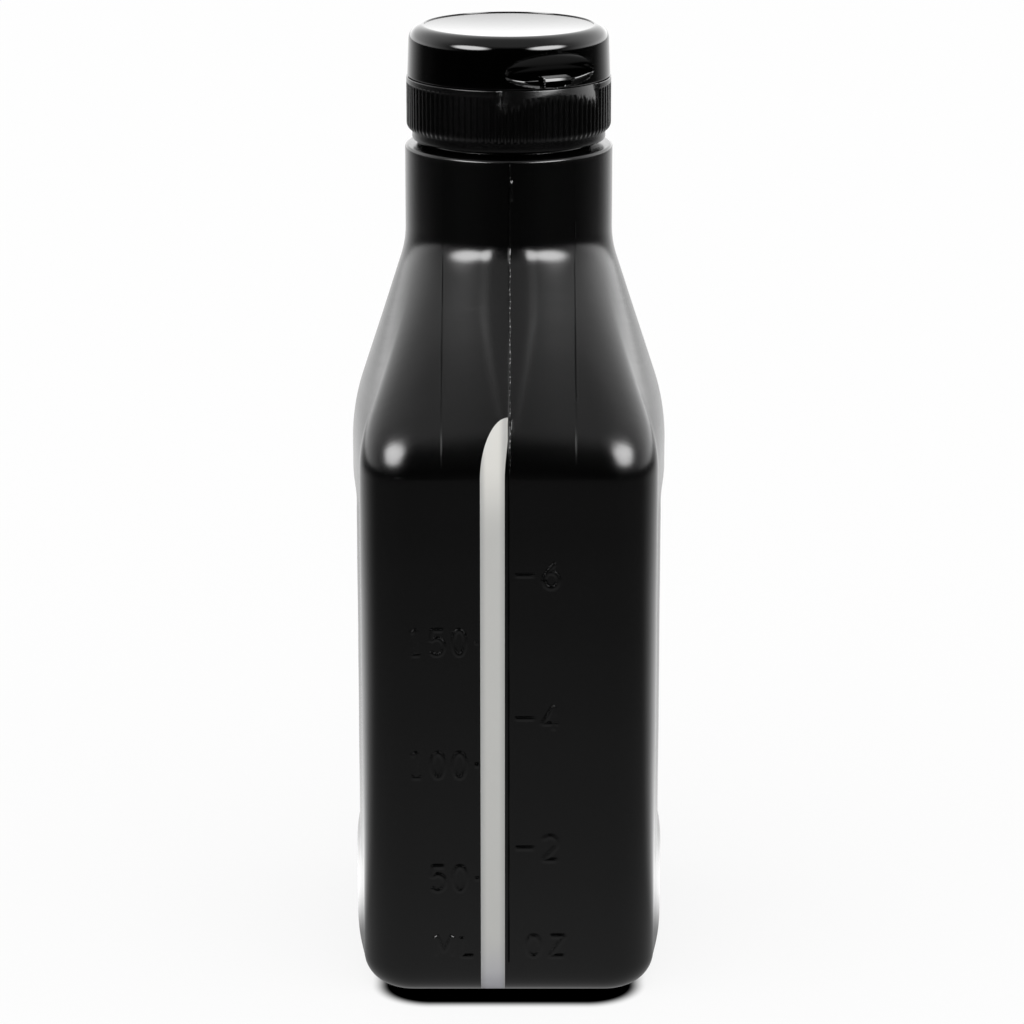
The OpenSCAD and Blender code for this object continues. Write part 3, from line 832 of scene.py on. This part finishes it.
# The section as one closed loop of (radius, height): out under the skirt, up the outside, in over the
# deck, up the spout and down its hole, out under the deck and down the inside
def closureProfile():
    low, c = closure["skirtZ"], closure
    bandR = c["r"] - c["bandStep"]
    lip, joint, deck, root = c["lipEdge"], c["jointEdge"], c["deckEdge"], c["spoutFillet"]
    tip, hole = c["spoutEdge"], c["holeEdge"]
    return np.concatenate([
        arc((c["inR"] + lip, low + lip), lip, 180, 270, 4),
        arc((bandR - lip, low + lip), lip, 270, 360, 4),
        [[bandR, low + 0.8], [bandR, c["bandTop"] - 0.25]],
        arc((c["r"] - c["ribRound"], c["bandTop"] + c["ribRound"]), c["ribRound"], -72, 0, 9),
        [[c["r"], z] for z in np.linspace(132.6, c["ribTop"] - 0.3, 11)],
        [[c["r"], z] for z in np.linspace(c["ribTop"] - 0.2, c["ribTop"] + 0.1, 5)],
        [[c["r"], z] for z in (138.45, 138.7, 138.9)],
        arc((c["r"] - joint, c["jointZ"] - joint), joint, 0, 90, 5),
        [[15.0, c["jointZ"]], [14.2, c["jointZ"]], [c["deckR"] + 0.12, c["jointZ"] + 0.02]],
        [[c["deckR"], c["jointZ"] + 0.2]],
        arc((c["deckR"] - deck, c["deckTop"] - deck), deck, 0, 90, 5),
        [[11, c["deckTop"]], [8, c["deckTop"]], [5.4, c["deckTop"]]],
        arc((c["spoutR"] + root, c["deckTop"] + root), root, 270, 180, 5),
        [[c["spoutR"] - 0.1, 141.2]],
        arc((c["spoutTip"] - tip, c["spoutTop"] - tip), tip, 0, 90, 5),
        arc((c["holeR"] + hole, c["spoutTop"] - hole), hole, 90, 180, 5),
        [[c["holeR"], 140.5], [c["holeR"], c["underDeck"] + 0.1], [c["holeR"] + 0.1, c["underDeck"]]],
        [[6, c["underDeck"]], [10, c["underDeck"]], [c["inR"] - 0.5, c["underDeck"]]],
        arc((c["inR"] - 0.4, c["underDeck"] - 0.4), 0.4, 90, 0, 4),
        [[c["inR"], z] for z in (136.5, 134.5, 132.5, 131)],
    ])


closureColumns = closure["ribs"] * closure["perRib"]
closureSkin = skin(turned(closureProfile(), closureColumns, closureRadius), rowsClosed=True)
closurePiece = build("screw_closure", [closureSkin], closureBlack)
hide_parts("closure")
closureThread = build("closure_thread", [helix(
    thread["closureR"], thread["closureDepth"], thread["closureTurns"], thread["topZ"] - thread["drop"],
    0.4, False)], closureBlack, 25)

# The flip-top lid

lid = {
    "low": lidLow[2], "top": lidHigh[2], "r": lidHigh[0], "draft": 0.2, "round": 2.3, "dish": 0.3,
    "step": 0.16, "wall": 1.3, "ceiling": 145.15, "scoopDepth": 1.8, "scoopLip": 0.4, "scoopZ": 141.4,
    "scoopSpan": 29, "scoopUp": 3.2, "scoopDown": 2.1, "tabTurn": 2.5, "tabSpan": 9.5, "tabTop": 140.9,
    "tabHigh": 0.6, "tabLean": 0.38, "tabR": 15.3, "clear": 99.0, "backing": 1.6,
    "lipSoft": 0.25, "fadeSoft": 2.0, "fadeLong": 1.6,
    "backingLow": 140.3, "pinR": 2.1, "pinTip": 1.6, "pinZ": 140.3,
}


# The thumb scoop is let into the side over a span of angle and height. Its depth is
# root(1 - aside^2) times root(1 - up^n), where aside runs from 0 in the middle to 1 at the sides and up
# runs from 0 at the deepest height to 1 at the outline. The power n is 2 above, which fades out softly,
# and 8 below, which leaves a flat floor with a crisp lip. A short tab stands on that floor. Behind the
# scoop the lid's inside is drawn in to a flat backing, so that the wall isn't cut through.
def lidRadius(radius, height, angle):
    turned = np.degrees(np.arctan2(np.sin(angle - scoopAngle), np.cos(angle - scoopAngle)))
    above = height - lid["scoopZ"]
    across = np.sqrt(np.maximum(1 - (turned / lid["scoopSpan"]) ** 2, 0))
    up = np.abs(above) / (np.where(above > 0, lid["scoopUp"], lid["scoopDown"]) * np.maximum(across, 0.01))
    inside = 1 - np.minimum(up, 1) ** np.where(above > 0, 2, 8)
    sunk = lid["r"] + lid["scoopLip"] - (lid["scoopDepth"] + lid["scoopLip"]) * across * np.sqrt(inside)
    sunk = np.where((across > 0) & (inside > 0), sunk, lid["clear"])
    tab = ease((lid["tabSpan"] - np.abs(turned - lid["tabTurn"])) / 0.9)
    tab = tab * ease((lid["tabTop"] - height) / 0.12)
    front = lid["tabR"] - lid["tabLean"] * np.maximum(height - lid["tabTop"] + lid["tabHigh"], 0)
    sunk = mix(sunk, np.maximum(sunk, front), tab)
    outside = (radius > lid["r"] - lid["wall"] * 0.6) & (height < lid["top"] - 0.3)
    inner = (radius > 6) & (radius < lid["r"] - lid["wall"] * 0.6) & (height > lid["backingLow"])
    inner &= (height < lid["ceiling"] + 0.01) & (np.abs(turned) < 85)
    backing = (lid["r"] - lid["scoopDepth"] - lid["backing"]) / np.maximum(np.cos(np.radians(turned)), 0.05)
    edge = mix(lid["lipSoft"], lid["fadeSoft"], ease((above + 0.2) / lid["fadeLong"]))
    radius = np.where(outside, softMin(radius, sunk, edge), radius)
    return np.where(inner, np.minimum(radius, backing), radius)


# The section as a line of (radius, height): from the tip of the sealing pin up to the ceiling, out and
# down the inside, around the lower edge, up the outside and over the corner to the dished top
def lidProfile():
    topR = lid["r"] - lid["draft"]
    rimR = topR - lid["round"]
    inR = lid["r"] - lid["wall"]
    corner = lid["round"] - lid["wall"] / 2
    dishing = np.linspace(1, 0.04, 16)[1:]
    sideR = mix(lid["r"], topR, np.linspace(0.03, 0.97, 78))
    sideZ = mix(lid["low"] + 0.2, lid["top"] - lid["round"], np.linspace(0.03, 0.97, 78))
    return np.concatenate([
        [[0.4, lid["pinZ"]], [lid["pinTip"] - 0.25, lid["pinZ"]]],
        arc((lid["pinTip"] - 0.2, lid["pinZ"] + 0.2), 0.2, 270, 360, 4)[1:],
        [[lid["pinR"] - 0.1, 142.5], [lid["pinR"], 144.4]],
        arc((lid["pinR"] + 0.6, lid["ceiling"] - 0.6), 0.6, 180, 90, 5),
        [[6, lid["ceiling"]], [9.5, lid["ceiling"]]],
        arc((inR - lid["draft"] - corner, lid["ceiling"] - corner), corner, 90, 0, 8),
        [[inR - 0.1, 142.2], [inR - 0.02, 140.9], [inR, 140.45], [inR, 140.28], [inR, lid["low"] + 0.2]],
        [[inR + 0.15, lid["low"]]],
        arc((lid["r"] - 0.18, lid["low"] + 0.18), 0.18, 270, 360, 5),
        np.stack([sideR, sideZ], -1),
        arc((rimR, lid["top"] - lid["round"]), lid["round"], 0, 86, 15),
        [[rimR - 0.06, lid["top"] - 0.02], [rimR - 0.12, lid["top"] - lid["step"]]],
        [[rimR * t, lid["top"] - lid["step"] - lid["dish"] * (1 - t ** 2)] for t in dishing * 0.98],
    ])


lidSkin = skin(turned(lidProfile(), 540, lidRadius))
lidPiece = build("flip_lid", [lidSkin], lidBlack, 30)
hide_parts("lid")

# The film hinge, opposite the thumb scoop: a thin strap that bows out over the joint

hinge = {"wide": 9.0, "thick": 0.34, "closureZ": 137.9, "lidZ": 140.4, "inR": 15.5, "bow": 0.62,
         "thinned": 0.45, "thinLong": 0.09, "axisR": 16.1, "bendLow": 138.75, "bendHigh": 139.45}


# The strap's section is an oblong that runs up from the skirt to the lid. Its distance from the axis is
# inR + bow sin(pi t)^0.7, and a bell curve of t thins it where it folds.
def hingeSkin():
    t = np.linspace(0, 1, 31)
    z = mix(hinge["closureZ"], hinge["lidZ"], t)
    bow = hinge["inR"] + hinge["bow"] * np.sin(t * math.pi) ** 0.7
    side = np.linspace(-1, 1, 21) * hinge["wide"] / 2
    thick = hinge["thick"] * (1 - hinge["thinned"] * np.exp(-((t - 0.5) / hinge["thinLong"]) ** 2))
    ring = np.concatenate([np.stack([side, np.ones(21)], -1), np.stack([side[::-1], np.zeros(21)], -1)])
    radius = bow[:, None] + thick[:, None] * (ring[None, :, 1] - 0.5)
    sag = np.sqrt(np.maximum(radius ** 2 - ring[None, :, 0] ** 2, 0))
    x, y = np.broadcast_to(ring[None, :, 0], sag.shape), sag
    turn = math.radians(closure["scoopTurn"])
    grid = np.stack([x * math.cos(turn) - y * math.sin(turn), x * math.sin(turn) + y * math.cos(turn),
                     np.repeat(z[:, None], ring.shape[0], 1)], -1)
    points, quads, fans = skin(grid)
    return points, quads[:, ::-1], fans[:, ::-1]


hingePiece = build("film_hinge", [hingeSkin()], closureBlack)

# The sealing liner

liner = {"r": linerHigh[0], "inR": 10.9, "edge": 0.12}


# The ring's section: an oblong with rounded edges
def linerProfile():
    low, high, edge = linerLow[2], linerHigh[2], liner["edge"]
    return np.concatenate([
        arc((liner["inR"] + edge, low + edge), edge, 180, 270, 4),
        arc((liner["r"] - edge, low + edge), edge, 270, 360, 4),
        arc((liner["r"] - edge, high - edge), edge, 0, 90, 4),
        arc((liner["inR"] + edge, high - edge), edge, 90, 180, 4),
    ])


linerPiece = build("liner_ring", [skin(turned(linerProfile(), 160), rowsClosed=True)], foam)
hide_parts("sealing_liner")

# Each piece rides on its body. The hinge strap stays where it is built, running from the closure to the
# lid.

for piece, bodyName, slotName in (
    (bottlePiece, "bottle", "black_bottle"), (stripePiece, "bottle", "natural_stripe"),
    (creasePiece, "bottle", "black_bottle"), (flashPiece, "bottle", "black_bottle"),
    (marksPiece, "bottle", "black_bottle"),
    (neckThread, "bottle", "black_bottle"), (linerPiece, "liner", "liner_foam"),
    (closurePiece, "closure", "closure_black"), (closureThread, "closure", "closure_black"),
    (lidPiece, "lid", "lid_black"),
):
    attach(piece, bodyName)
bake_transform(hingePiece)

# Floor: white to the camera, but for the object's shadow and a painted black contact shadow under the heel.
# What gloss sees of it is a painted glow that stands for a lit table, brightest near the object and at
# the back, that ends in the dark.


def floorMaterial():
    paintedShadow = {"halfX": 20.0, "halfY": 34.4, "corner": 8.0, "inner": -1.2, "outer": 1.6}
    sides = {"beside": (78, 132), "gain": 2.143, "behind": (112, 160), "back": 1.1}
    material, graph = newMaterial("floor_paper")
    place = graph.node("ShaderNodeTexCoord", None, None, 3)
    split = graph.node("ShaderNodeSeparateXYZ", None, {0: place}).socket.node
    x, y = Sock(graph, split.outputs[0]), Sock(graph, split.outputs[1])
    grain = graph.noise(place, 0.0012, (1, 1, 1), 3)
    lightPath = graph.node("ShaderNodeLightPath").socket.node
    isCamera = Sock(graph, lightPath.outputs["Is Camera Ray"])
    isGlossy = Sock(graph, lightPath.outputs["Is Glossy Ray"])

    # Painted shadow: black to the camera inside an oblong with round corners around the heel, softening
    # outward
    # Distance to an oblong with round corners: the length of what lies past its inner oblong
    overX = (x.math("ABSOLUTE") - (paintedShadow["halfX"] - paintedShadow["corner"]) * mm).math("MAXIMUM", 0)
    overY = (y.math("ABSOLUTE") - (paintedShadow["halfY"] - paintedShadow["corner"]) * mm).math("MAXIMUM", 0)
    past = (overX * overX + overY * overY).math("SQRT") - paintedShadow["corner"] * mm
    shade = 1 - graph.step(past, paintedShadow["inner"] * mm, paintedShadow["outer"] * mm)

    # Painted glow that only gloss sees: brighter near the object, beside it and behind it
    away = graph.node("ShaderNodeVectorMath", {"operation": "LENGTH"}, {0: place}, 1)
    table = graph.node("ShaderNodeValToRGB", {"stops": [
        (0.0, grey(0.5)), (0.1, grey(0.36)), (0.2, grey(0.27)), (0.34, grey(0.22)), (0.46, grey(0.17)),
        (0.7, grey(0.12)), (1.0, grey(0.0))]}, {0: away / 0.5})
    fading = graph.node("ShaderNodeValToRGB", {"stops": [
        (0.0, grey(1.0)), (0.06, grey(0.85)), (0.18, grey(0.63)), (0.3, grey(0.35)), (0.56, grey(0.07)),
        (0.75, grey(0.05)), (1.0, grey(0.03))]}, {0: away})
    azimuth = x.math("ABSOLUTE").math("ARCTAN2", y * -1) * (180 / math.pi)
    beside = graph.step(azimuth, *sides["beside"]) * sides["gain"]
    behind = graph.step(azimuth, *sides["behind"])
    added = graph.node("ShaderNodeVectorMath", {"operation": "SCALE"}, {0: fading, 3: beside})
    seen = graph.node("ShaderNodeVectorMath", {"operation": "ADD"}, {0: table, 1: added})
    seen = graph.blendColour(behind, seen, grey(sides["back"]))
    lit = graph.blendColour(shade, grey(1.0), grey(0.0))
    paper = graph.node("ShaderNodeBsdfDiffuse", None, {
        "Color": graph.blendColour(grain, grey(0.93), grey(0.97)), "Roughness": 0.6})
    glow = graph.node("ShaderNodeEmission", None, {"Color": graph.blendColour(isGlossy, lit, seen)})
    share = isCamera * (0.84 + shade * 0.16) + isGlossy
    surface = graph.node("ShaderNodeMixShader", None, {0: share, 1: paper, 2: glow})
    graph.node("ShaderNodeOutputMaterial", None, {"Surface": surface})
    return material


floorHalf = 6000  # far past the picture's edge
corners = np.array([[-1, -1, 0], [1, -1, 0], [1, 1, 0], [-1, 1, 0]]) * floorHalf
floor = build("floor", [(corners, np.array([[0, 1, 2, 3]]), np.zeros((0, 3), int))], floorMaterial())

# World: plain white light, and for gloss a studio of two soft boxes in front to the left and right,
# white walls behind and beside, and a dark front


def studioWorld():
    studio = {"wall": 1.1, "box": 15.0, "above": 0.5, "back": 1.7, "rim": 0.5, "right": 0.3,
              "boxAzimuth": 47.5, "boxElevation": 25, "boxWide": 28, "boxHigh": 16, "boxSoft": 0.45,
              "behindSpan": (48, 126), "lowSpan": (10, 45), "rimSpan": (3, 14), "rightSpan": (-0.1, 0.9),
              "frontSpan": (25, 48), "aboveSpan": (45, 75)}
    world = bpy.data.worlds.new("studio")
    world.use_nodes = True
    bpy.context.scene.world = world
    graph = Graph(world.node_tree)
    direction = graph.node("ShaderNodeTexCoord", None, None, 0)
    split = graph.node("ShaderNodeSeparateXYZ", None, {0: direction}, 0)
    x, y, z = [Sock(graph, split.socket.node.outputs[i]) for i in range(3)]
    azimuth = x.math("ABSOLUTE").math("ARCTAN2", y * -1) * (180 / math.pi)
    elevation = z.math("ARCSINE") * (180 / math.pi)

    # A soft box is an ellipse in azimuth and elevation, with a soft edge
    acrossBox = (azimuth - studio["boxAzimuth"]) / studio["boxWide"]
    upBox = (elevation - studio["boxElevation"]) / studio["boxHigh"]
    box = 1 - graph.step((acrossBox * acrossBox + upBox * upBox).math("SQRT"), 1 - studio["boxSoft"], 1.0)
    behind = graph.step(azimuth, *studio["behindSpan"])
    low = 1 - graph.step(elevation, *studio["lowSpan"])
    rim = 1 - graph.step(elevation, *studio["rimSpan"])
    wall = studio["wall"] + low * behind * (studio["back"] - studio["wall"]) + rim * studio["rim"]
    wall = wall * (1 + graph.step(x, *studio["rightSpan"]) * studio["right"])
    front = graph.step(elevation, *studio["frontSpan"]) * studio["above"]
    above = graph.step(elevation, *studio["aboveSpan"])
    seen = front + behind * (wall - front)
    seen = seen + above * (studio["above"] - seen)
    seen = seen + box * studio["box"]
    path = graph.node("ShaderNodeLightPath", None, None, 0).socket.node
    isGlossy = Sock(graph, path.outputs["Is Glossy Ray"])
    strength = 1.0 + isGlossy * (seen - 1.0)
    surface = graph.node("ShaderNodeBackground", None, {"Color": grey(1.0), "Strength": strength})
    graph.node("ShaderNodeOutputWorld", None, {"Surface": surface})


studioWorld()
print("studio ready")
